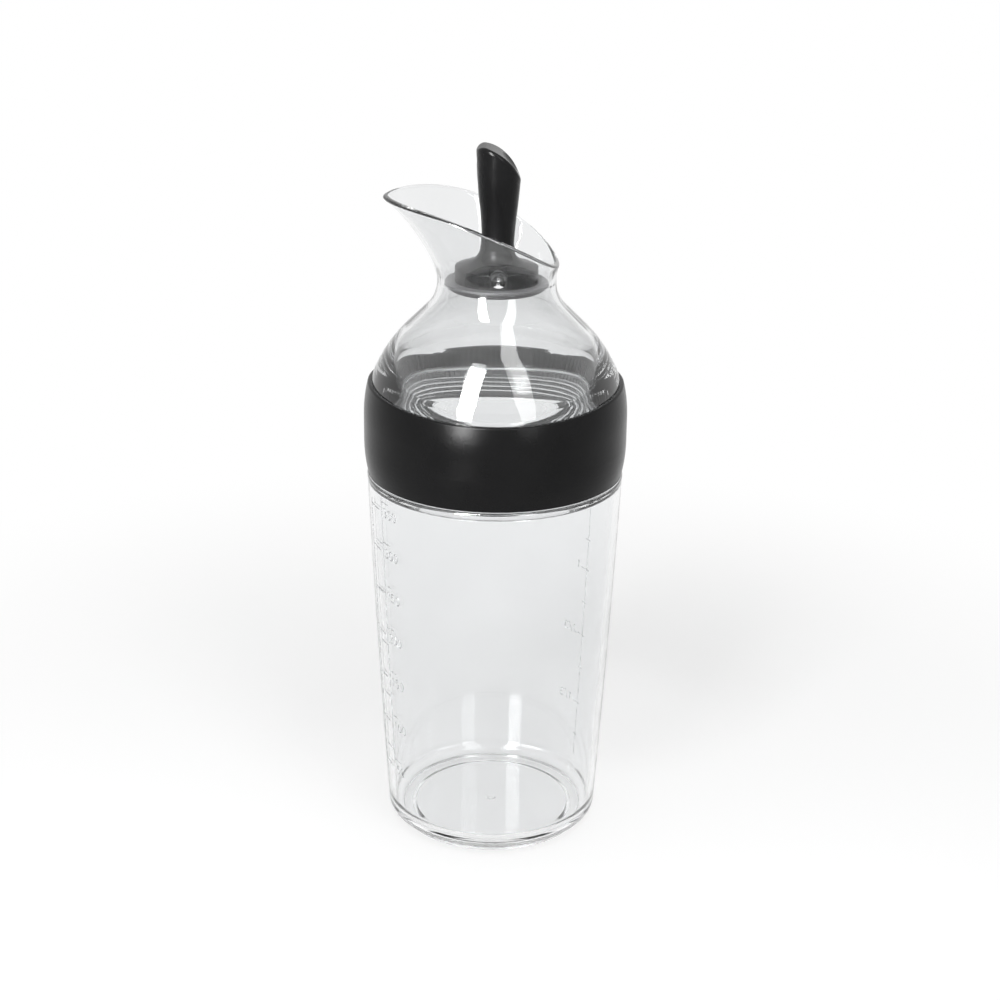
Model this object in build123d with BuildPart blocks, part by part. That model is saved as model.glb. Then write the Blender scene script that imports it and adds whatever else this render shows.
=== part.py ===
from build123d import *
from math import cos, radians, sin, sqrt
import os

os.makedirs("parts", exist_ok=True)

# Dressing shaker bottle: a clear tumbler, a screw lid with an open pouring spout,
# and a stopper that tilts back on two pins moulded inside the lid's waist.
# Millimetres, +Z up, origin at the centre of the foot, spout towards -X.

# Container
foot_step = 3.9
corner_share = 0.96
foot_ring_w = 4.0
foot_h = 1.8
foot_recess = 1.4
wall_low_r = 35.9
shoulder_r = 42.5
shoulder_z = 127.2
wall_bulge = 0.35
container_wall = 2.2
floor_thickness = 2.8
floor_round = 5.0
shoulder_round = 0.9
shoulder_slope_h = 0.6
shoulder_in_round = 0.5
neck_step = 5.1
neck_wall = 2.0
neck_h = 19.8
neck_root_round = 0.4
rim_round = 0.7

# Lid shell
thread_room = 1.9
skirt_wall = 1.7
skirt_gap = 0.8
dome_start_h = 6.727
dome_low_round = 16.0
dome_turn_deg = 24.0
dome_round = 46.6
dome_in_round = 22.0
dome_wall = 2.2
waist_r = 19.3
waist_round = 12.0
waist_wall = 1.9

# Spout
spout_reach = 36.4
spout_half_width = 30.3
spout_h = 27.0
lip_round_share = 0.32
lip_back_out = 2.7
lip_mid_out = 1.0

# Heights of the lip behind, in the middle and in front, as shares of the spout's height
lip_height_shares = [0.163, 0.744, 1.033]

# Spout sections from the waist upwards, as shares of the sizes above
level_shares = [0.0, 0.12, 0.24, 0.48, 0.74, 1.0, 1.14]
front_shares = [0.0, 0.018, 0.080, 0.287, 0.573, 1.0, 1.25]
back_shares = [0.0, 0.012, 0.050, 0.240, 0.520, 0.90, 1.10]
side_shares = [0.0, 0.080, 0.230, 0.545, 0.855, 1.0, 1.03]
back_corner_shares = [0.552, 0.590, 0.650, 0.650, 0.620, 0.60, 0.60]
tip_side_shares = [0.552, 0.552, 0.552, 0.560, 0.620, 0.70, 0.70]
tip_end_shares = [0.552, 0.552, 0.550, 0.480, 0.340, 0.20, 0.18]
flare_wall_shares = [1.0, 1.0, 1.02, 1.12, 1.20, 1.32, 1.40]

# Lid seal
seal_h = 1.6
seal_inset = 0.4
seal_round = 0.5

# Grip collar
collar_gap = 0.3
collar_wall = 2.4
collar_tuck = 1.2
collar_taper = 1.5
collar_swell_h = 10.5
collar_taper_drop = 8.5
collar_front_h = 0.4
collar_saddle = 2.6
collar_edge_round = 0.7
collar_hook = 1.2

# Stopper lever
pivot_h = 4.5
pin_r = 2.65
pin_reach = 9.4
pin_nose_h = 2.0
pin_nose_r = 1.85
pin_tip_r = 0.3
pin_clearance = 0.08
pin_end_gap = 0.5
plug_gap = 3.7
plug_edge_h = 1.3
plug_round = 0.5
flare_r = 9.2
flare_h = 2.9
flare_mid_r = 6.5
flare_mid_h = 4.7
handle_root_r = 5.4
handle_root_h = 7.6
handle_h = 40.7
handle_lean = 0.35
handle_depth = 7.6
handle_width = 7.4
handle_edge_round = 1.0
thumb_dish_r = 16.0
thumb_dish_depth = 0.9
thumb_tilt_deg = 52.0

# Handle sections above its root, as shares of the handle's height, depth and width
handle_level_shares = [0.24, 0.44, 0.64, 1.04]
handle_depth_shares = [0.745, 0.838, 0.912, 1.0]
handle_width_shares = [0.80, 0.88, 0.95, 1.0]

# Handle's slanted crown in side view: left end, peak, middle of the slant and its low end,
# as shares of the handle's depth and of its height over the pins
crown_side_shares = [-0.947, -0.51, 0.454, 0.987]
crown_drop_shares = [0.081, 0.032, 0.139, 0.317]

# Stopper gasket and the plate that holds it
gasket_gap = 0.45
gasket_drop = 3.7
gasket_t = 1.3
gasket_lip_t = 0.8
gasket_bore_r = 8.0
bore_clearance = 0.05
plate_gap = 2.0
plate_t = 1.7
plate_round = 0.8

# Places that follow from the sizes above
overrun = 3.0
half = cos(radians(45))
quarter_sin, quarter_cos = sin(radians(22.5)), cos(radians(22.5))
foot_r = wall_low_r - foot_step
neck_r = shoulder_r - neck_step
mouth_r = neck_r - neck_wall
rim_z = shoulder_z + neck_h
seat_z = rim_z + seal_h
skirt_r_in = neck_r + thread_room
skirt_low_z = shoulder_z + skirt_gap
dome_r = skirt_r_in + skirt_wall
dome_start_z = seat_z + dome_start_h
dome_turn = radians(dome_turn_deg)
dome_low_centre_r = dome_r - dome_low_round
dome_turn_r = dome_low_centre_r + dome_low_round * cos(dome_turn)
dome_turn_z = dome_start_z + dome_low_round * sin(dome_turn)
dome_centre_r = dome_turn_r - dome_round * cos(dome_turn)
dome_centre_z = dome_turn_z - dome_round * sin(dome_turn)
waist_centre_r = waist_r + waist_round
waist_z = dome_centre_z + dome_centre_r - waist_centre_r + 2 * half * (dome_round + waist_round)
waist_bore_r = waist_r - waist_wall
collar_low_z = shoulder_z + collar_gap
collar_swell_z = collar_low_z + collar_swell_h
collar_taper_z = dome_start_z - collar_taper_drop
collar_front_z = dome_start_z + collar_front_h
collar_side_z = collar_front_z + collar_saddle
collar_r = dome_r + collar_wall
collar_low_r = collar_r - collar_tuck
collar_high_r = collar_r - collar_taper
plug_r = waist_bore_r - plug_gap
gasket_r = waist_bore_r - gasket_gap
plate_r = waist_bore_r - plate_gap
slot_end_y = pin_reach - pin_end_gap
pivot_z = waist_z + pivot_h
handle_top_z = pivot_z + handle_h
gasket_top_z = pivot_z - gasket_drop
gasket_low_z = gasket_top_z - gasket_t
floor_z = foot_recess + floor_thickness


def ring_edges(solid, radius, height):
    """The circular edge of a turned solid that lies nearest to a radius and a height."""
    rings = solid.edges().filter_by(GeomType.CIRCLE)
    return rings.sort_by(lambda e: abs(e.radius - radius) + abs(e.arc_center.Z - height))[:1]


def corner(outline, radius, height):
    """The corner of a flat outline that lies nearest to a radius and a height."""
    return outline.vertices().sort_by(lambda v: abs(v.X - radius) + abs(v.Y - height))[:1]


# Container: tapered wall, foot ring and neck, turned in one outline
wall_mid_r = (wall_low_r + shoulder_r) / 2 + wall_bulge
wall_mid_z = (foot_h + shoulder_z) / 2
shoulder_in_r = shoulder_r - container_wall
shoulder_in_z = shoulder_z - container_wall
slope_low_z = shoulder_in_z - shoulder_slope_h
foot_in_r = foot_r - foot_ring_w

with BuildPart() as container:
    with BuildSketch(Plane.XZ) as outline:
        with BuildLine():
            Polyline(
                (0, foot_recess),
                (foot_in_r - foot_recess, foot_recess),
                (foot_in_r, 0),
                (foot_r, 0),
                (foot_r, foot_h),
                (wall_low_r, foot_h),
            )
            ThreePointArc((wall_low_r, foot_h), (wall_mid_r, wall_mid_z), (shoulder_r, shoulder_z))
            Polyline(
                (shoulder_r, shoulder_z),
                (neck_r, shoulder_z),
                (neck_r, rim_z),
                (mouth_r, rim_z),
                (mouth_r, shoulder_in_z),
                (shoulder_in_r, slope_low_z),
            )
            ThreePointArc(
                (shoulder_in_r, slope_low_z),
                (wall_mid_r - container_wall, wall_mid_z),
                (wall_low_r - container_wall, floor_z),
            )
            Polyline((wall_low_r - container_wall, floor_z), (0, floor_z), (0, foot_recess))
        make_face()
        fillet(corner(outline, wall_low_r, foot_h), radius=foot_step * corner_share)
        fillet(corner(outline, wall_low_r - container_wall, floor_z), radius=floor_round)
        fillet(corner(outline, shoulder_r, shoulder_z), radius=shoulder_round)
        fillet(corner(outline, neck_r, shoulder_z), radius=neck_root_round)
        fillet(corner(outline, mouth_r, shoulder_in_z), radius=shoulder_in_round)
        fillet(corner(outline, shoulder_in_r, slope_low_z), radius=shoulder_in_round)
        fillet(corner(outline, neck_r, rim_z), radius=rim_round)
        fillet(corner(outline, mouth_r, rim_z), radius=rim_round)
    revolve(axis=Axis.Z)
container.part.label = "container"
export_step(container.part, "parts/container.step")


# Spout: sections from the round waist to a pointed lip, lofted outside and inside
def spout_section(level, wall):
    """Outline of the spout at one level, drawn as four curves and moved in by the wall."""
    front = waist_r + front_shares[level] * (spout_reach - waist_r) - wall
    back = waist_r + back_shares[level] * (spout_reach - waist_r) - wall
    side = waist_r + side_shares[level] * (spout_half_width - waist_r) - wall
    bulge = back_corner_shares[level]
    shoulder, tip = tip_side_shares[level], tip_end_shares[level]
    with BuildSketch(Plane.XY.offset(waist_z + level_shares[level] * spout_h)) as section:
        with BuildLine():
            if level_shares[level] > 0:
                Bezier((back, 0), (back, bulge * side), (bulge * back, side), (0, side))
                Bezier((0, side), (-shoulder * front, side), (-front, tip * side), (-front, 0))
            else:
                CenterArc((0, 0), side, 0, 90)
                CenterArc((0, 0), side, 90, 90)
            mirror(about=Plane.XZ)
        make_face()
    return section.sketch


with BuildPart() as spout_outside:
    loft([spout_section(level, 0) for level in range(len(level_shares))])

with BuildPart() as spout_inside:
    loft([spout_section(level, waist_wall * share) for level, share in enumerate(flare_wall_shares)])

# Pins: two round studs with a pointed nose, joined to the inside of the spout's wall
with BuildPart() as pins:
    with BuildSketch(Plane.YZ):
        with BuildLine():
            Polyline(
                (pin_reach, pivot_z),
                (pin_reach, pivot_z + pin_tip_r),
                (pin_reach + pin_nose_h, pivot_z + pin_nose_r),
                (pin_reach + pin_nose_h, pivot_z + pin_r),
                (waist_r, pivot_z + pin_r),
                (waist_r, pivot_z),
                close=True,
            )
        make_face()
    revolve(axis=Axis((0, 0, pivot_z), (0, 1, 0)))
    mirror(about=Plane.XZ)
    add(spout_outside.part, mode=Mode.INTERSECT)

# Lid shell: skirt, dome and waist turned in one outline, the spout added on top
waist_in_round = waist_round + waist_wall
slope_top_r = waist_centre_r - waist_round * half
slope_top_z = waist_z - waist_round * half
slope_low_r = dome_centre_r + dome_round * half
dome_top_z = dome_centre_z + dome_round * half
dome_mid_turn = (dome_turn + radians(45)) / 2
dome_in_centre_r = mouth_r - dome_in_round
dome_in_start_z = (
    slope_low_r + dome_top_z - dome_wall / half - dome_in_centre_r - 2 * dome_in_round * half
)

with BuildPart() as lid_shell:
    with BuildSketch(Plane.XZ):
        with BuildLine():
            Polyline((skirt_r_in, skirt_low_z), (dome_r, skirt_low_z), (dome_r, dome_start_z))
            ThreePointArc(
                (dome_r, dome_start_z),
                (
                    dome_low_centre_r + dome_low_round * cos(dome_turn / 2),
                    dome_start_z + dome_low_round * sin(dome_turn / 2),
                ),
                (dome_turn_r, dome_turn_z),
            )
            ThreePointArc(
                (dome_turn_r, dome_turn_z),
                (
                    dome_centre_r + dome_round * cos(dome_mid_turn),
                    dome_centre_z + dome_round * sin(dome_mid_turn),
                ),
                (slope_low_r, dome_top_z),
            )
            Line((slope_low_r, dome_top_z), (slope_top_r, slope_top_z))
            ThreePointArc(
                (slope_top_r, slope_top_z),
                (waist_centre_r - waist_round * quarter_cos, waist_z - waist_round * quarter_sin),
                (waist_r, waist_z),
            )
            Line((waist_r, waist_z), (waist_r - waist_wall, waist_z))
            ThreePointArc(
                (waist_r - waist_wall, waist_z),
                (waist_centre_r - waist_in_round * quarter_cos, waist_z - waist_in_round * quarter_sin),
                (waist_centre_r - waist_in_round * half, waist_z - waist_in_round * half),
            )
            Line(
                (waist_centre_r - waist_in_round * half, waist_z - waist_in_round * half),
                (dome_in_centre_r + dome_in_round * half, dome_in_start_z + dome_in_round * half),
            )
            ThreePointArc(
                (dome_in_centre_r + dome_in_round * half, dome_in_start_z + dome_in_round * half),
                (
                    dome_in_centre_r + dome_in_round * quarter_cos,
                    dome_in_start_z + dome_in_round * quarter_sin,
                ),
                (mouth_r, dome_in_start_z),
            )
            Polyline(
                (mouth_r, dome_in_start_z),
                (mouth_r, seat_z),
                (skirt_r_in, seat_z),
                (skirt_r_in, skirt_low_z),
            )
        make_face()
    revolve(axis=Axis.Z)
    add(spout_outside.part)
    add(spout_inside.part, mode=Mode.SUBTRACT)
    add(pins.part)
    with BuildSketch(Plane.XZ):
        with BuildLine():
            lip_low_z, lip_mid_z, lip_high_z = [waist_z + spout_h * share for share in lip_height_shares]
            lip_back = (waist_r + lip_back_out, lip_low_z)
            lip_front = (-spout_reach - overrun, lip_high_z)
            lip_top_z = waist_z + spout_h * level_shares[-1] + overrun
            ThreePointArc(lip_back, (-lip_mid_out, lip_mid_z), lip_front)
            Polyline(
                lip_front,
                (-spout_reach - spout_h, lip_front[1]),
                (-spout_reach - spout_h, lip_top_z),
                (spout_reach + spout_h, lip_top_z),
                (spout_reach + spout_h, lip_back[1]),
                lip_back,
            )
        make_face()
    extrude(amount=spout_reach + spout_h, both=True, mode=Mode.SUBTRACT)
    lip_face = lid_shell.faces().filter_by(GeomType.CYLINDER).sort_by(Axis.Z)[-1:]
    fillet(lip_face.edges(), radius=waist_wall * lip_round_share)
lid_shell.part.label = "lid_shell"
export_step(lid_shell.part, "parts/lid_shell.step")

# Lid seal: flat silicone ring between the container's rim and the lid's seat
with BuildPart() as lid_seal:
    with BuildSketch(Plane.XY.offset(rim_z)):
        Circle(skirt_r_in - seal_inset)
        Circle(mouth_r + seal_inset, mode=Mode.SUBTRACT)
    extrude(amount=seal_h)
    fillet(lid_seal.edges().filter_by(GeomType.CIRCLE), radius=seal_round)
lid_seal.part.label = "lid_seal"
export_step(lid_seal.part, "parts/lid_seal.step")

# Grip collar: soft band round the skirt, its top cut to a saddle by a large cylinder
collar_low_round = ((collar_swell_z - collar_low_z) ** 2 + (collar_r - collar_low_r) ** 2) / (
    2 * (collar_r - collar_low_r)
)
collar_high_round = ((collar_side_z - collar_taper_z) ** 2 + (collar_r - collar_high_r) ** 2) / (
    2 * (collar_r - collar_high_r)
)
saddle_round = (collar_saddle**2 + collar_high_r**2) / (2 * collar_saddle)
collar_top_z = collar_side_z + overrun


def collar_side_r(z, start_z, radius):
    """Radius of the collar's outside where it curves in above or below its widest band."""
    return collar_r - radius + sqrt(radius**2 - (z - start_z) ** 2)


def dome_outer_r(z):
    """Outer radius of the dome at a height on its lower round."""
    return dome_low_centre_r + sqrt(dome_low_round**2 - (z - dome_start_z) ** 2)


with BuildPart() as grip_collar:
    with BuildSketch(Plane.XZ):
        with BuildLine():
            low_mid_z = (collar_low_z + collar_swell_z) / 2
            high_mid_z = (collar_taper_z + collar_top_z) / 2
            dome_mid_z = (dome_start_z + collar_top_z) / 2
            ThreePointArc(
                (collar_low_r, collar_low_z),
                (collar_side_r(low_mid_z, collar_swell_z, collar_low_round), low_mid_z),
                (collar_r, collar_swell_z),
            )
            Line((collar_r, collar_swell_z), (collar_r, collar_taper_z))
            ThreePointArc(
                (collar_r, collar_taper_z),
                (collar_side_r(high_mid_z, collar_taper_z, collar_high_round), high_mid_z),
                (collar_side_r(collar_top_z, collar_taper_z, collar_high_round), collar_top_z),
            )
            Line(
                (collar_side_r(collar_top_z, collar_taper_z, collar_high_round), collar_top_z),
                (dome_outer_r(collar_top_z), collar_top_z),
            )
            ThreePointArc(
                (dome_outer_r(collar_top_z), collar_top_z),
                (dome_outer_r(dome_mid_z), dome_mid_z),
                (dome_r, dome_start_z),
            )
            Polyline(
                (dome_r, dome_start_z),
                (dome_r, skirt_low_z),
                (dome_r - collar_hook, skirt_low_z),
                (dome_r - collar_hook, collar_low_z),
                (collar_low_r, collar_low_z),
            )
        make_face()
    revolve(axis=Axis.Z)
    with BuildSketch(Plane.XZ):
        with Locations((0, collar_front_z + saddle_round)):
            Circle(saddle_round)
    extrude(amount=collar_r + overrun, both=True, mode=Mode.SUBTRACT)
    saddle_edges = grip_collar.faces().filter_by(GeomType.CYLINDER).sort_by(Axis.Z)[-1:].edges()
    fillet(saddle_edges.sort_by(SortBy.LENGTH)[-1:], radius=collar_edge_round)
    fillet(ring_edges(grip_collar, collar_low_r, collar_low_z), radius=neck_root_round)
grip_collar.part.label = "grip_collar"
export_step(grip_collar.part, "parts/grip_collar.step")

# Stopper lever: round plug with a flared top, a handle lofted on it and a slot for each pin
with BuildPart() as stopper_lever:
    with BuildSketch(Plane.XZ):
        with BuildLine():
            Polyline(
                (0, pivot_z + handle_root_h),
                (0, gasket_top_z),
                (plug_r, gasket_top_z),
                (plug_r, pivot_z + plug_edge_h),
                (flare_r, pivot_z + flare_h),
            )
            ThreePointArc(
                (flare_r, pivot_z + flare_h),
                (flare_mid_r, pivot_z + flare_mid_h),
                (handle_root_r, pivot_z + handle_root_h),
            )
            Line((handle_root_r, pivot_z + handle_root_h), (0, pivot_z + handle_root_h))
        make_face()
    revolve(axis=Axis.Z)
    fillet(ring_edges(stopper_lever, plug_r, pivot_z + plug_edge_h), radius=plug_round)
    handle_root_z = pivot_z + handle_root_h
    with BuildSketch(Plane.XY.offset(handle_root_z)):
        Circle(handle_root_r)
    for level, depth, width in zip(handle_level_shares, handle_depth_shares, handle_width_shares):
        with BuildSketch(Plane.XY.offset(handle_root_z + (handle_top_z - handle_root_z) * level)):
            with Locations((handle_lean, 0)):
                Ellipse(handle_depth * depth, handle_width * width)
    loft()
    crown_left, crown_peak, crown_mid, crown_low = [
        (handle_depth * side, handle_top_z - handle_h * drop)
        for side, drop in zip(crown_side_shares, crown_drop_shares)
    ]
    crown_turn = (
        crown_peak[0] + (crown_left[0] - crown_peak[0]) * half,
        crown_left[1] + (crown_peak[1] - crown_left[1]) * half,
    )
    with BuildSketch(Plane.XZ):
        with BuildLine():
            ThreePointArc(crown_left, crown_turn, crown_peak)
            ThreePointArc(crown_peak, crown_mid, crown_low)
            Polyline(
                crown_low,
                (crown_low[0] + overrun, crown_low[1]),
                (crown_low[0] + overrun, handle_top_z + overrun),
                (crown_left[0] - overrun, handle_top_z + overrun),
                (crown_left[0] - overrun, crown_left[1]),
                crown_left,
            )
        make_face()
    extrude(amount=handle_width + overrun, both=True, mode=Mode.SUBTRACT)
    crown_faces = stopper_lever.faces().filter_by(GeomType.CYLINDER).sort_by(Axis.Z)[-2:]
    fillet(crown_faces.edges().filter_by(GeomType.LINE, reverse=True), radius=handle_edge_round)
    dish_centre = (
        crown_mid[0] + (thumb_dish_r - thumb_dish_depth) * sin(radians(thumb_tilt_deg)),
        0,
        crown_mid[1] + (thumb_dish_r - thumb_dish_depth) * cos(radians(thumb_tilt_deg)),
    )
    with Locations(dish_centre):
        Sphere(thumb_dish_r, mode=Mode.SUBTRACT)
    for side in (-1, 1):
        with BuildSketch(Plane.XZ.offset(side * slot_end_y)):
            with Locations((0, pivot_z)):
                Circle(pin_r + pin_clearance)
            with Locations((0, pivot_z + handle_root_h / 2)):
                Rectangle(2 * (pin_r + pin_clearance), handle_root_h)
        extrude(amount=side * plug_r, mode=Mode.SUBTRACT)
stopper_lever.part.label = "stopper_lever"
export_step(stopper_lever.part, "parts/stopper_lever.step")

# Stopper gasket: silicone disc with a thin lip that seals against the waist
with BuildPart() as stopper_gasket:
    with BuildSketch(Plane.XZ):
        with BuildLine():
            Polyline(
                (gasket_bore_r, gasket_low_z),
                (plate_r, gasket_low_z),
                (gasket_r, gasket_top_z - gasket_lip_t),
                (gasket_r, gasket_top_z),
                (gasket_bore_r, gasket_top_z),
                close=True,
            )
        make_face()
    revolve(axis=Axis.Z)
stopper_gasket.part.label = "stopper_gasket"
export_step(stopper_gasket.part, "parts/stopper_gasket.step")

# Stopper plate: welded under the plug through the gasket's bore
with BuildPart() as stopper_plate:
    with BuildSketch(Plane.XZ):
        with BuildLine():
            Polyline(
                (0, gasket_low_z - plate_t),
                (plate_r, gasket_low_z - plate_t),
                (plate_r, gasket_low_z),
                (gasket_bore_r - bore_clearance, gasket_low_z),
                (gasket_bore_r - bore_clearance, gasket_top_z),
                (0, gasket_top_z),
                close=True,
            )
        make_face()
    revolve(axis=Axis.Z)
    fillet(ring_edges(stopper_plate, plate_r, gasket_low_z - plate_t), radius=plate_round)
stopper_plate.part.label = "stopper_plate"
export_step(stopper_plate.part, "parts/stopper_plate.step")
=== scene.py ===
from math import cos, pi, radians, sin, sqrt, tan

import bmesh
import bpy
from mathutils import Matrix, Vector


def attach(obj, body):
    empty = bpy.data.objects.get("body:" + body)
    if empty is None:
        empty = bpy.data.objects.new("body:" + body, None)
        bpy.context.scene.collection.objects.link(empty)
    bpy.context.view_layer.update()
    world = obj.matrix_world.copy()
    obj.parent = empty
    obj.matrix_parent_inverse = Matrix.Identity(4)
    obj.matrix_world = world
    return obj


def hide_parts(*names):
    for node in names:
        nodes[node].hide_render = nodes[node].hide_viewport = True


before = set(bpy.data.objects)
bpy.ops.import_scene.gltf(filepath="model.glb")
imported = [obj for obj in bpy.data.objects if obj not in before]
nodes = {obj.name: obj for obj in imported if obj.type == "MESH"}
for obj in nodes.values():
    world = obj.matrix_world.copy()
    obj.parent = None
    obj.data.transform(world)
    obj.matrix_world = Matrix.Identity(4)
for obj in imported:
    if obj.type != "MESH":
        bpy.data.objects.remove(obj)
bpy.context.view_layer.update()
scene = bpy.context.scene

# Angle between the photograph's view and the plane of the pins, seen from above
VIEW_TURN = Matrix.Rotation(-radians(2.2), 3, "Z")


def add_object(name, data):
    made = bpy.data.objects.new(name, data)
    scene.collection.objects.link(made)
    return made


# ---------------------------------------------------------------- camera
CAMERA_PLACE = (0.00182, -0.6561, 0.3696)
CAMERA_PITCH, CAMERA_ROLL = radians(21.16), radians(0.67)


def turned(x, y, z):
    """A point or direction given in the camera's upright frame, turned to the bottle's frame."""
    return VIEW_TURN @ Vector((x, y, z))


def add_camera():
    forward = Vector((0, cos(CAMERA_PITCH), -sin(CAMERA_PITCH)))
    right = Vector((1, 0, 0))
    up = Vector((0, sin(CAMERA_PITCH), cos(CAMERA_PITCH)))
    side = right * cos(CAMERA_ROLL) + up * sin(CAMERA_ROLL)
    top = up * cos(CAMERA_ROLL) - right * sin(CAMERA_ROLL)
    basis = Matrix((side, top, -forward)).transposed()
    data = bpy.data.cameras.new("camera")
    data.lens = 75.5
    data.sensor_width = 36.0
    data.clip_start = 0.01
    camera = add_object("camera", data)
    camera.matrix_world = Matrix.Translation(turned(*CAMERA_PLACE)) @ (VIEW_TURN @ basis).to_4x4()
    scene.camera = camera


# ---------------------------------------------------------------- materials
class Tree:
    """A node material that is put together a few nodes at a time."""

    def __init__(self, name):
        self.material = bpy.data.materials.new(name)
        self.material.use_nodes = True
        self.tree = self.material.node_tree
        self.tree.nodes.clear()
        self.out = self.tree.nodes.new("ShaderNodeOutputMaterial")

    def node(self, kind, **settings):
        made = self.tree.nodes.new("ShaderNode" + kind)
        for key, value in settings.items():
            setattr(made, key, value)
        return made

    def link(self, source, target):
        self.tree.links.new(source, target)

    def principled(self, **values):
        shader = self.node("BsdfPrincipled")
        for key, value in values.items():
            shader.inputs[key.replace("_", " ")].default_value = value
        self.link(shader.outputs[0], self.out.inputs["Surface"])
        return shader

    def noise(self, scale, detail=3.0, rough=0.55):
        coordinates = self.node("TexCoord")
        made = self.node("TexNoise")
        made.inputs["Scale"].default_value = scale
        made.inputs["Detail"].default_value = detail
        made.inputs["Roughness"].default_value = rough
        self.link(coordinates.outputs["Object"], made.inputs["Vector"])
        return made.outputs["Fac"]

    def ramp(self, source, low, high, start=0.3, end=0.7):
        made = self.node("MapRange")
        made.inputs["From Min"].default_value = start
        made.inputs["From Max"].default_value = end
        made.inputs["To Min"].default_value = low
        made.inputs["To Max"].default_value = high
        self.link(source, made.inputs["Value"])
        return made.outputs["Result"]

    def colours(self, source, low, high):
        made = self.node("ValToRGB")
        made.color_ramp.elements[0].position = 0.3
        made.color_ramp.elements[0].color = (*low, 1)
        made.color_ramp.elements[1].position = 0.7
        made.color_ramp.elements[1].color = (*high, 1)
        self.link(source, made.inputs["Fac"])
        return made.outputs["Color"]

    def bump(self, source, strength, distance):
        made = self.node("Bump")
        made.inputs["Strength"].default_value = strength
        made.inputs["Distance"].default_value = distance
        self.link(source, made.inputs["Height"])
        return made.outputs["Normal"]


def clear_plastic(name, low, high):
    """Polished clear plastic: slightly uneven tint, faint scuffs and a barely wavy surface."""
    tree = Tree(name)
    shader = tree.principled(Transmission_Weight=1.0, IOR=1.56)
    cloud = tree.noise(45.0, 2.0)
    scuff = tree.noise(900.0, 4.0, 0.7)
    tree.link(tree.colours(cloud, low, high), shader.inputs["Base Color"])
    tree.link(tree.ramp(scuff, 0.0, 0.03, 0.45, 0.75), shader.inputs["Roughness"])
    tree.link(tree.bump(cloud, 0.03, 0.0004), shader.inputs["Normal"])
    return tree.material


def opaque(name, grain, cloud, low, high, roughness, bump, **values):
    """A dark part: cloudy colour and roughness, and a fine grain in the surface.

    grain and cloud are a noise's settings, bump is the grain's strength and distance."""
    tree = Tree(name)
    shader = tree.principled(**values)
    clouds = tree.noise(*cloud)
    tree.link(tree.colours(clouds, low, high), shader.inputs["Base Color"])
    tree.link(tree.ramp(clouds, *roughness), shader.inputs["Roughness"])
    tree.link(tree.bump(tree.noise(*grain), *bump), shader.inputs["Normal"])
    return tree.material


def cloudy(name, scale, low, high, roughness, **values):
    """A translucent part: cloudy colour and roughness."""
    tree = Tree(name)
    shader = tree.principled(**values)
    clouds = tree.noise(scale)
    tree.link(tree.colours(clouds, low, high), shader.inputs["Base Color"])
    tree.link(tree.ramp(clouds, *roughness), shader.inputs["Roughness"])
    return tree.material


def give(mesh, material):
    mesh.materials.clear()
    mesh.materials.append(material)


# ---------------------------------------------------------------- outlines and meshes
def around(radius, angle, height):
    """A point in metres from a radius and height in millimetres."""
    return (radius * cos(angle) / 1000, radius * sin(angle) / 1000, height / 1000)


def rounded(corners, steps=6, edge=0.2):
    """Points of an outline from its corners (radius, height, fillet) in millimetres.

    A corner of no fillet that turns sharply gets a small one, and a long run gets a point
    near each end, so that smooth shading stays on the round."""
    points = []
    for i, (x, z, fillet) in enumerate(corners):
        here = Vector((x, z))
        if i in (0, len(corners) - 1):
            points.append(here)
            continue
        before = (Vector(corners[i - 1][:2]) - here).normalized()
        after = (Vector(corners[i + 1][:2]) - here).normalized()
        opening = before.angle(after)
        if not fillet and opening > radians(160):
            points.append(here)
            continue
        fillet = fillet or edge
        along = fillet / tan(opening / 2)
        centre = here + (before + after).normalized() * (fillet / sin(opening / 2))
        first, last = here + before * along - centre, here + after * along - centre
        for k in range(steps + 1):
            spoke = first.lerp(last, k / steps)
            points.append(centre + spoke.normalized() * fillet)
    held = []
    for low, high in zip(points, points[1:]):
        held.append(low)
        if (high - low).length > 1.2:
            run = (high - low).normalized() * 0.3
            held += [low + run, high - run]
    return held + points[-1:]


def arc_between(start, middle, end, count):
    """Points of the arc through three points, without its ends."""
    (ax, ay), (bx, by), (cx, cy) = start, middle, end
    d = 2 * (ax * (by - cy) + bx * (cy - ay) + cx * (ay - by))
    a2, b2, c2 = ax * ax + ay * ay, bx * bx + by * by, cx * cx + cy * cy
    ux = (a2 * (by - cy) + b2 * (cy - ay) + c2 * (ay - by)) / d
    uy = (a2 * (cx - bx) + b2 * (ax - cx) + c2 * (bx - ax)) / d
    radius = sqrt((ax - ux) ** 2 + (ay - uy) ** 2)
    made = []
    for k in range(1, count):
        t = k / count
        guess = Vector((ax + (cx - ax) * t - ux, ay + (cy - ay) * t - uy)).normalized()
        made.append((ux + guess.x * radius, uy + guess.y * radius, 0))
    return made


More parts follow.
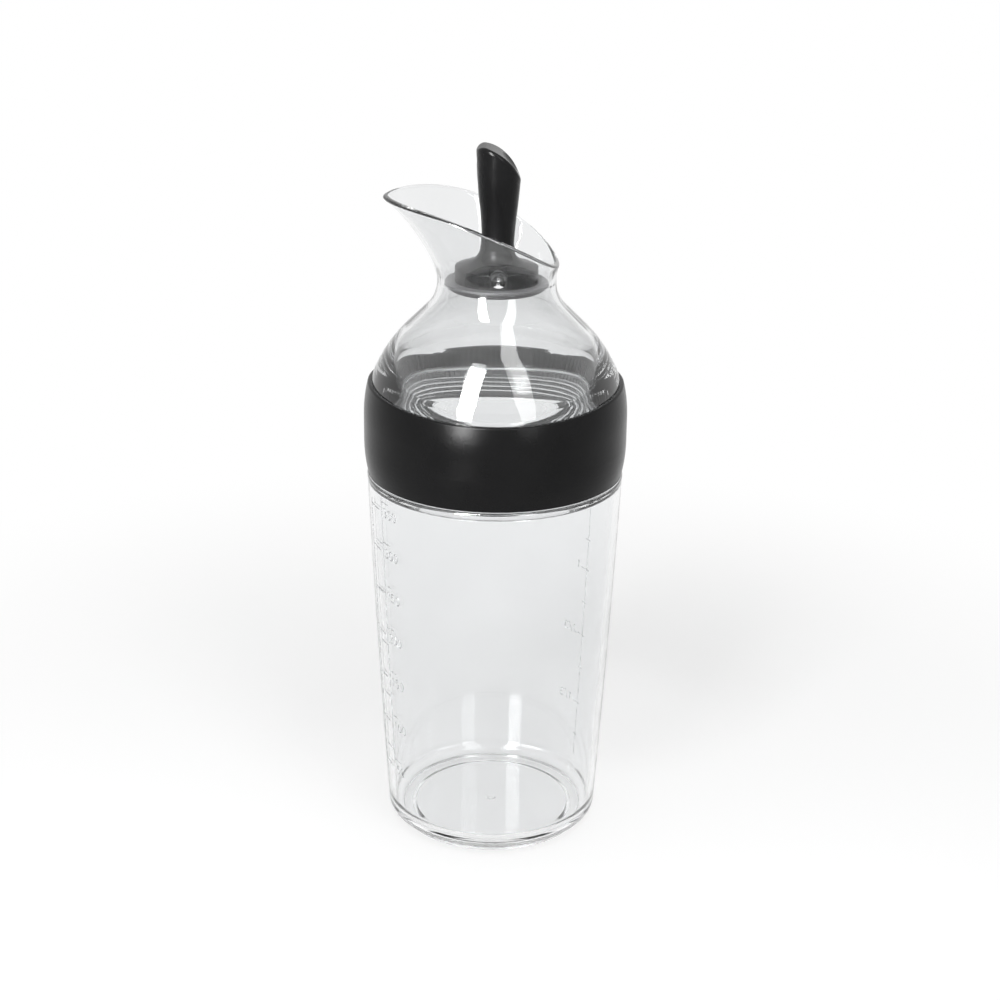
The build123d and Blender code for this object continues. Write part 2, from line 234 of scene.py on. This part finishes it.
def turned_mesh(name, outline, segments, relief):
    """A closed turned mesh; relief(angle, radius, height) is how far a point stands out."""
    rings, vertices, faces = [], [], []
    for x, z in outline:
        if x < 1e-6:
            rings.append([len(vertices)])
            vertices.append((0, 0, z / 1000))
            continue
        ring = []
        for k in range(segments):
            a = 2 * pi * k / segments
            ring.append(len(vertices))
            vertices.append(around(x + relief(a, x, z), a, z))
        rings.append(ring)
    for low, high in zip(rings, rings[1:]):
        for k in range(segments):
            n = (k + 1) % segments
            if len(low) == 1:
                faces.append((low[0], high[n], high[k]))
            elif len(high) == 1:
                faces.append((low[k], low[n], high[0]))
            else:
                faces.append((low[k], low[n], high[n], high[k]))
    mesh = bpy.data.meshes.new(name)
    mesh.from_pydata(vertices, [], faces)
    mesh.update()
    work = bmesh.new()
    work.from_mesh(mesh)
    bmesh.ops.recalc_face_normals(work, faces=work.faces)
    work.to_mesh(mesh)
    work.free()
    for face in mesh.polygons:
        face.use_smooth = True
    return mesh


def swept_mesh(name, rows):
    """A mesh from rows of sections; a row is closed by its end faces, or into a ring where
    its ends meet."""
    mesh = bpy.data.meshes.new(name)
    work = bmesh.new()
    for row in rows:
        ring = (Vector(row[0][0]) - Vector(row[-1][0])).length < 1e-7
        if ring:
            row = row[:-1]
        made = [[work.verts.new(point) for point in section] for section in row]
        count = len(made[0])
        for i in range(len(made) - (0 if ring else 1)):
            low, high = made[i], made[(i + 1) % len(made)]
            for k in range(count):
                n = (k + 1) % count
                work.faces.new((low[k], low[n], high[n], high[k]))
        if not ring:
            work.faces.new(made[0])
            work.faces.new(made[-1])
    bmesh.ops.recalc_face_normals(work, faces=work.faces)
    for face in work.faces:
        face.smooth = len(face.verts) == 4
    work.to_mesh(mesh)
    work.free()
    return mesh


# ---------------------------------------------------------------- container and threads
# Container, in millimetres: foot, floor with its gate mark, wall, neck and inner shelf.
# Halfway up, the wall stands WALL_SWELL outside a straight cone.
FOOT_H, FOOT_IN_R, FOOT_OUT_R = 1.8, 28.0, 32.0
FLOOR_LOW, FLOOR_TOP, FLOOR_R = 1.4, 4.2, 26.6
GATE_LOW, GATE_LOW_R, GATE_TOP_R = 1.1, 0.9, 1.5
WALL, WALL_LOW_R, SHOULDER_R, WALL_SWELL = 2.2, 35.9, 42.5, 0.35
NECK_R, NECK_BORE_R, NECK_LOW, NECK_TOP = 37.4, 35.4, 127.2, 147.0
SHELF_LOW, SHELF_TOP, SHELF_ROUND = 124.4, 125.0, 0.5
# Screw thread, in millimetres: beads on the neck and ridges in the lid's skirt. The
# ridges' fade is a number of steps, the beads' fade a height.
LEAD, STARTS = 6.0, 2
BEAD_H, BEAD_HALF, BEAD_FADE = 1.15, 1.45, 1.5
BEAD_LOW, BEAD_TOP = NECK_TOP - 17.5, NECK_TOP - 4
SKIRT_BORE_R, RIDGE_H, RIDGE_LOW = 39.25, 1.04, NECK_LOW + 7.5
RIDGE_STEPS, RIDGE_FADE = 400, 32


def wall_r(z):
    """Outer radius of the container's wall at a height."""
    t = (z - FOOT_H) / (NECK_LOW - FOOT_H)
    return WALL_LOW_R + (SHOULDER_R - WALL_LOW_R) * t + 4 * WALL_SWELL * t * (1 - t)


def neck_bead(angle, radius, height):
    """Height of the screw thread's beads on the neck: two starts, fading out at both ends."""
    if abs(radius - NECK_R) > 0.01 or not BEAD_LOW < height < BEAD_TOP:
        return 0
    pitch = LEAD / STARTS
    turn = (height - NECK_LOW) / pitch - STARTS * angle / (2 * pi)
    off = abs(turn - round(turn)) * pitch
    if off > BEAD_HALF:
        return 0
    ends = min(1, (height - BEAD_LOW) / BEAD_FADE, (BEAD_TOP - height) / BEAD_FADE)
    return BEAD_H * ends * (0.5 + 0.5 * cos(pi * off / BEAD_HALF))


def container_mesh():
    """The container as one closed skin, from the gate mark round to the middle of its floor."""
    mid_r, mid_z = (WALL_LOW_R + SHOULDER_R) / 2 + WALL_SWELL, (FOOT_H + NECK_LOW) / 2
    low_in, high_in = WALL_LOW_R - WALL, SHOULDER_R - WALL
    corners = [(0, GATE_LOW, 0), (GATE_LOW_R, GATE_LOW, 0), (GATE_TOP_R, FLOOR_LOW, 0)]
    corners += [(FLOOR_R, FLOOR_LOW, 0), (FOOT_IN_R, 0, 0), (FOOT_OUT_R, 0, 0)]
    corners += [(FOOT_OUT_R, FOOT_H, 0), (WALL_LOW_R, FOOT_H, 3.744)]
    corners += arc_between((WALL_LOW_R, FOOT_H), (mid_r, mid_z), (SHOULDER_R, NECK_LOW), 14)
    corners += [(SHOULDER_R, NECK_LOW, 0.9), (NECK_R, NECK_LOW, 0.4)]
    # Up the neck, close together where the beads are
    corners += [(NECK_R, NECK_LOW + 1 + 0.5 * k, 0) for k in range(2)]
    corners += [(NECK_R, BEAD_LOW - 0.3 + 0.15 * k, 0) for k in range(95)]
    corners += [(NECK_R, NECK_TOP - 3 + 0.7 * k, 0) for k in range(3)]
    corners += [(NECK_R, NECK_TOP, 0.7), (NECK_BORE_R, NECK_TOP, 0.7)]
    corners += [(NECK_BORE_R, SHELF_TOP, SHELF_ROUND), (high_in, SHELF_LOW, SHELF_ROUND)]
    corners += arc_between((high_in, SHELF_LOW), (mid_r - WALL, mid_z), (low_in, FLOOR_TOP), 14)
    corners += [(low_in, FLOOR_TOP, 5.0), (0, FLOOR_TOP, 0)]
    return turned_mesh("container_clear", rounded(corners), 320, neck_bead)


def lid_thread_mesh():
    """The lid's inner thread: two ridges of one and a quarter turns, half a pitch off the
    neck's beads."""
    profile = [(-0.9, 0.0), (-0.55, 0.65), (-0.32, 1.0), (0.32, 1.0), (0.55, 0.65), (0.9, 0.0)]
    rows = []
    for start in range(STARTS):
        row = []
        for k in range(RIDGE_STEPS + 1):
            a = pi * start + 2.5 * pi * k / RIDGE_STEPS
            rise = RIDGE_H * min(1, 0.05 + k / RIDGE_FADE, 0.05 + (RIDGE_STEPS - k) / RIDGE_FADE)
            z = RIDGE_LOW - LEAD / STARTS * start + LEAD * a / (2 * pi)
            row.append([around(SKIRT_BORE_R - rise * up, a, z + side) for side, up in profile])
        rows.append(row)
    return swept_mesh("lid_thread", rows)


# ---------------------------------------------------------------- moulded scales
# Millimetres: the strokes' half width, their height, and the gap that keeps them off the wall
STROKE_HALF, STROKE_H, STROKE_GAP = 0.2, 0.13, 0.015


def arc_points(x, y, rx, ry, start, end, count=10):
    turns = [radians(start + (end - start) * k / count) for k in range(count + 1)]
    return [(x + rx * cos(a), y + ry * sin(a)) for a in turns]


# Strokes of the digits in a box one wide and one high
DIGITS = {
    "0": [arc_points(0.5, 0.5, 0.5, 0.5, 90, 450, 20)],
    "1": [[(0.2, 0.76), (0.55, 1.0), (0.55, 0.0)]],
    "2": [arc_points(0.48, 0.72, 0.44, 0.28, 165, -35) + [(0.0, 0.0), (0.95, 0.0)]],
    "3": [arc_points(0.42, 0.75, 0.42, 0.25, 150, -80)
          + arc_points(0.42, 0.26, 0.5, 0.26, 80, -155)],
    "4": [[(0.72, 0.0), (0.72, 1.0), (0.0, 0.3), (1.0, 0.3)]],
    "5": [[(0.88, 1.0), (0.18, 1.0), (0.1, 0.56)]
          + arc_points(0.44, 0.33, 0.5, 0.33, 115, -150)],
    "/": [[(0.1, -0.1), (0.9, 1.1)]],
}


def number_strokes(text, x, z, height):
    """Strokes of a number whose lower left corner is at (x, z)."""
    strokes, width = [], height * 0.64
    for place, digit in enumerate(text):
        left = x + place * width * 1.36
        for stroke in DIGITS[digit]:
            strokes.append([(left + width * px, z + height * pz) for px, pz in stroke])
    return strokes


def tick(left, middle, right, z):
    return [(left, z), (middle, z), (right, z)]


def long_line(x, low, high):
    """A straight stroke up the wall, in steps short enough to follow its curve."""
    return [(x, low + (high - low) * k / 30) for k in range(31)]


def front_strokes():
    """Front scale: two lines up the wall, ticks between and beside them, and numbers."""
    strokes = [long_line(0, 26, 124), long_line(-9.1, 20, 121)]
    heights = (23.4, 40.8, 57.7, 73.9, 89.4, 104.8, 119.3)
    for number, z in zip(("50", "100", "150", "200", "250", "300", "350"), heights):
        strokes += number_strokes(number, 1.2, z - 1.5, 3.0)
        strokes += [tick(0.3, 2.2, 4.2, z + 3.5), tick(-8.8, -5.4, -2.0, z)]
    strokes += [tick(-5.8, -3.0, -0.3, z) for z in (30.4, 50.9, 70.5, 89.9, 107.5)]
    return strokes


def rear_strokes():
    """Rear scale: one line up the wall with ticks across it and thirds beside them."""
    strokes = [long_line(0, 11, 112)]
    for number, z in zip(("1/3", "2/3", "1", "4/3"), (31.4, 57.3, 82.0, 105.5)):
        strokes.append(tick(-1.4, 1.2, 3.6, z))
        strokes += number_strokes(number, 4.4, z - 0.6, 2.7)
        strokes.append(tick(-1.2, 0.3, 1.8, z - 12.4))
    return strokes


def scale_mesh(name, azimuth, lean, strokes):
    """Thin beads that follow strokes (along the wall, height) on the container's outside.

    lean is how many degrees the scale turns round the wall for each millimetre of height."""
    profile = [(-1, 0), (-0.62, 0.72), (0, 1), (0.62, 0.72), (1, 0)]

    def on_wall(x, z, lift):
        turn = radians(azimuth - 90 + z * lean) + x / wall_r(z)
        return around(wall_r(z) + STROKE_GAP + lift, turn, z)

    rows = []
    for stroke in strokes:
        row = []
        ring = (Vector(stroke[0]) - Vector(stroke[-1])).length < 1e-6
        for i, (x, z) in enumerate(stroke):
            low = stroke[i - 1] if i else (stroke[-2] if ring else stroke[0])
            last = i == len(stroke) - 1
            high = (stroke[1] if ring else stroke[-1]) if last else stroke[i + 1]
            along = (Vector(high) - Vector(low)).normalized()
            row.append([on_wall(x - along.y * side * STROKE_HALF, z + along.x * side * STROKE_HALF,
                                up * STROKE_H) for side, up in profile])
        rows.append(row)
    return swept_mesh(name, rows)


# ---------------------------------------------------------------- stage
def softbox(name, azimuth, elevation, distance, width, height, radiance):
    """A soft lamp seen from the bottle at an azimuth (0 behind the camera) and an elevation."""
    data = bpy.data.lights.new(name, "AREA")
    data.shape = "RECTANGLE"
    data.size, data.size_y = width, height
    data.energy = radiance * pi * width * height
    lamp = add_object(name, data)
    a, e = radians(azimuth), radians(elevation)
    aim = turned(sin(a) * cos(e), -cos(a) * cos(e), sin(e))
    lamp.location = Vector((0, 0, 0.12)) + aim * distance
    lamp.rotation_euler = (-aim).to_track_quat("-Z", "Y").to_euler()
    return lamp


def sees_background(made, links):
    """One for the rays that see the white background: camera, mirrored and transmitted ones."""
    path = made.new("ShaderNodeLightPath")
    share = path.outputs["Is Glossy Ray"]
    for kind in ("Is Transmission Ray", "Is Camera Ray"):
        larger = made.new("ShaderNodeMath")
        larger.operation = "MAXIMUM"
        links.new(share, larger.inputs[0])
        links.new(path.outputs[kind], larger.inputs[1])
        share = larger.outputs[0]
    return share


def add_world():
    """A white room that lights matt surfaces only dimly."""
    world = bpy.data.worlds.new("studio")
    world.use_nodes = True
    scene.world = world
    tree = world.node_tree
    tree.nodes.clear()
    out = tree.nodes.new("ShaderNodeOutputWorld")
    mix = tree.nodes.new("ShaderNodeMixShader")
    tree.links.new(sees_background(tree.nodes, tree.links), mix.inputs["Fac"])
    for slot, strength in ((1, 0.12), (2, 1.0)):
        white = tree.nodes.new("ShaderNodeBackground")
        white.inputs["Color"].default_value = (1, 1, 1, 1)
        white.inputs["Strength"].default_value = strength
        tree.links.new(white.outputs[0], mix.inputs[slot])
    tree.links.new(mix.outputs[0], out.inputs["Surface"])


def add_floor():
    """A pale floor that keeps the bottle's shadow close by and turns into the white
    background further off."""
    tree = Tree("pale_floor")
    flat = tree.node("VectorMath", operation="MULTIPLY")
    flat.inputs[1].default_value = (1, 1, 0)
    tree.link(tree.node("NewGeometry").outputs["Position"], flat.inputs[0])
    length = tree.node("VectorMath", operation="LENGTH")
    tree.link(flat.outputs["Vector"], length.inputs[0])
    far = tree.node("MapRange", interpolation_type="SMOOTHSTEP")
    far.inputs["From Min"].default_value = 0.07
    far.inputs["From Max"].default_value = 0.36
    tree.link(length.outputs["Value"], far.inputs["Value"])
    surface = tree.node("BsdfDiffuse")
    surface.inputs["Color"].default_value = (0.8, 0.8, 0.8, 1)
    lift = tree.node("Emission")
    lift.inputs["Strength"].default_value = 0.245
    near = tree.node("AddShader")
    tree.link(surface.outputs[0], near.inputs[0])
    tree.link(lift.outputs[0], near.inputs[1])
    white = tree.node("Emission")
    white.inputs["Strength"].default_value = 1.0
    blend = tree.node("MixShader")
    tree.link(far.outputs["Result"], blend.inputs["Fac"])
    tree.link(near.outputs[0], blend.inputs[1])
    tree.link(white.outputs[0], blend.inputs[2])
    choose = tree.node("MixShader")
    tree.link(sees_background(tree.tree.nodes, tree.tree.links), choose.inputs["Fac"])
    tree.link(surface.outputs[0], choose.inputs[1])
    tree.link(blend.outputs[0], choose.inputs[2])
    tree.link(choose.outputs[0], tree.out.inputs["Surface"])
    mesh = bpy.data.meshes.new("floor")
    reach, drop = 4.0, -0.0002
    corners = [(x * reach, y * reach, drop) for x, y in ((-1, -1), (1, -1), (1, 1), (-1, 1))]
    mesh.from_pydata(corners, [], [(0, 1, 2, 3)])
    floor = add_object("floor", mesh)
    mesh.materials.append(tree.material)


add_camera()
add_world()
add_floor()
# The left strip is two lamps in one place: one that is mirrored and seen through the clear
# parts, and a weaker one that lights matt surfaces
LEFT_STRIP = (-27, 26, 1.25, 0.32, 1.62)
strip = softbox("strip_left", *LEFT_STRIP, 50.0)
strip.visible_diffuse = False
key = softbox("key_left", *LEFT_STRIP, 14.5)
key.visible_glossy = False
key.visible_transmission = False
softbox("strip_right", 29, 35, 1.25, 0.36, 1.95, 4.4)
softbox("overhead", 0, 86, 1.3, 1.4, 1.4, 0.25)


# ---------------------------------------------------------------- the bottle
def new_piece(name, mesh, material, body):
    piece = add_object(name, mesh)
    give(mesh, material)
    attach(piece, body)
    return piece


body_plastic = clear_plastic("clear_body_plastic", (0.909, 0.916, 0.92), (0.924, 0.93, 0.934))
lid_plastic = clear_plastic("clear_lid_plastic", (0.845, 0.852, 0.856), (0.865, 0.872, 0.876))
soft_grip = opaque(
    "soft_touch_black", (1500.0, 3.0, 0.6), (70.0, 4.0), (0.003, 0.003, 0.0032),
    (0.0045, 0.0045, 0.0047), (0.22, 0.26), (0.5, 0.0001), Specular_IOR_Level=0.12)
seal_silicone = cloudy(
    "translucent_silicone", 140.0, (0.78, 0.79, 0.8), (0.86, 0.87, 0.88), (0.28, 0.38),
    Transmission_Weight=0.6, IOR=1.42)
lever_plastic = opaque(
    "satin_black_plastic", (1500.0, 3.0, 0.6), (60.0, 3.0), (0.005, 0.005, 0.0053),
    (0.0075, 0.0075, 0.0078), (0.2, 0.28), (0.12, 0.00004), Specular_IOR_Level=0.12)
gasket_silicone = opaque(
    "grey_silicone", (2200.0, 4.0, 0.6), (120.0, 3.0), (0.095, 0.096, 0.1),
    (0.13, 0.131, 0.135), (0.46, 0.56), (0.2, 0.00005))
plate_plastic = opaque(
    "dark_plate_plastic", (1800.0, 3.0, 0.6), (90.0, 3.0), (0.028, 0.028, 0.03),
    (0.036, 0.036, 0.038), (0.3, 0.38), (0.15, 0.00004))
# Raised marks: clear plastic with the duller finish of an engraved tool, and a grey tint, darker
# than the body's, that is painted shade
mark_plastic = cloudy(
    "moulded_marks", 400.0, (0.68, 0.69, 0.7), (0.78, 0.79, 0.8), (0.2, 0.34),
    Transmission_Weight=0.75, IOR=1.5)

for node, material in (("container", body_plastic), ("lid_shell", lid_plastic),
                       ("grip_collar", soft_grip), ("lid_seal", seal_silicone),
                       ("stopper_lever", lever_plastic), ("stopper_gasket", gasket_silicone),
                       ("stopper_plate", plate_plastic)):
    give(nodes[node].data, material)

container = new_piece(
    "container_clear", container_mesh(), body_plastic, "container")
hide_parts("container")
lid_thread = new_piece("lid_thread", lid_thread_mesh(), lid_plastic, "lid")
front_scale = new_piece(
    "front_scale", scale_mesh("front_scale", -64.8, 0.019, front_strokes()),
    mark_plastic, "container")
rear_scale = new_piece(
    "rear_scale", scale_mesh("rear_scale", 117.5, 0.02, rear_strokes()),
    mark_plastic, "container")
# With caustics off, a clear part that cast a shadow would cast a solid one
for clear in (container, lid_thread, front_scale, rear_scale,
              nodes["lid_shell"], nodes["lid_seal"]):
    clear.visible_shadow = False

scene.view_settings.view_transform = "Standard"
scene.cycles.caustics_reflective = False
scene.cycles.caustics_refractive = False
scene.cycles.max_bounces = 24
scene.cycles.transmission_bounces = 20
scene.cycles.glossy_bounces = 8
scene.cycles.transparent_max_bounces = 16
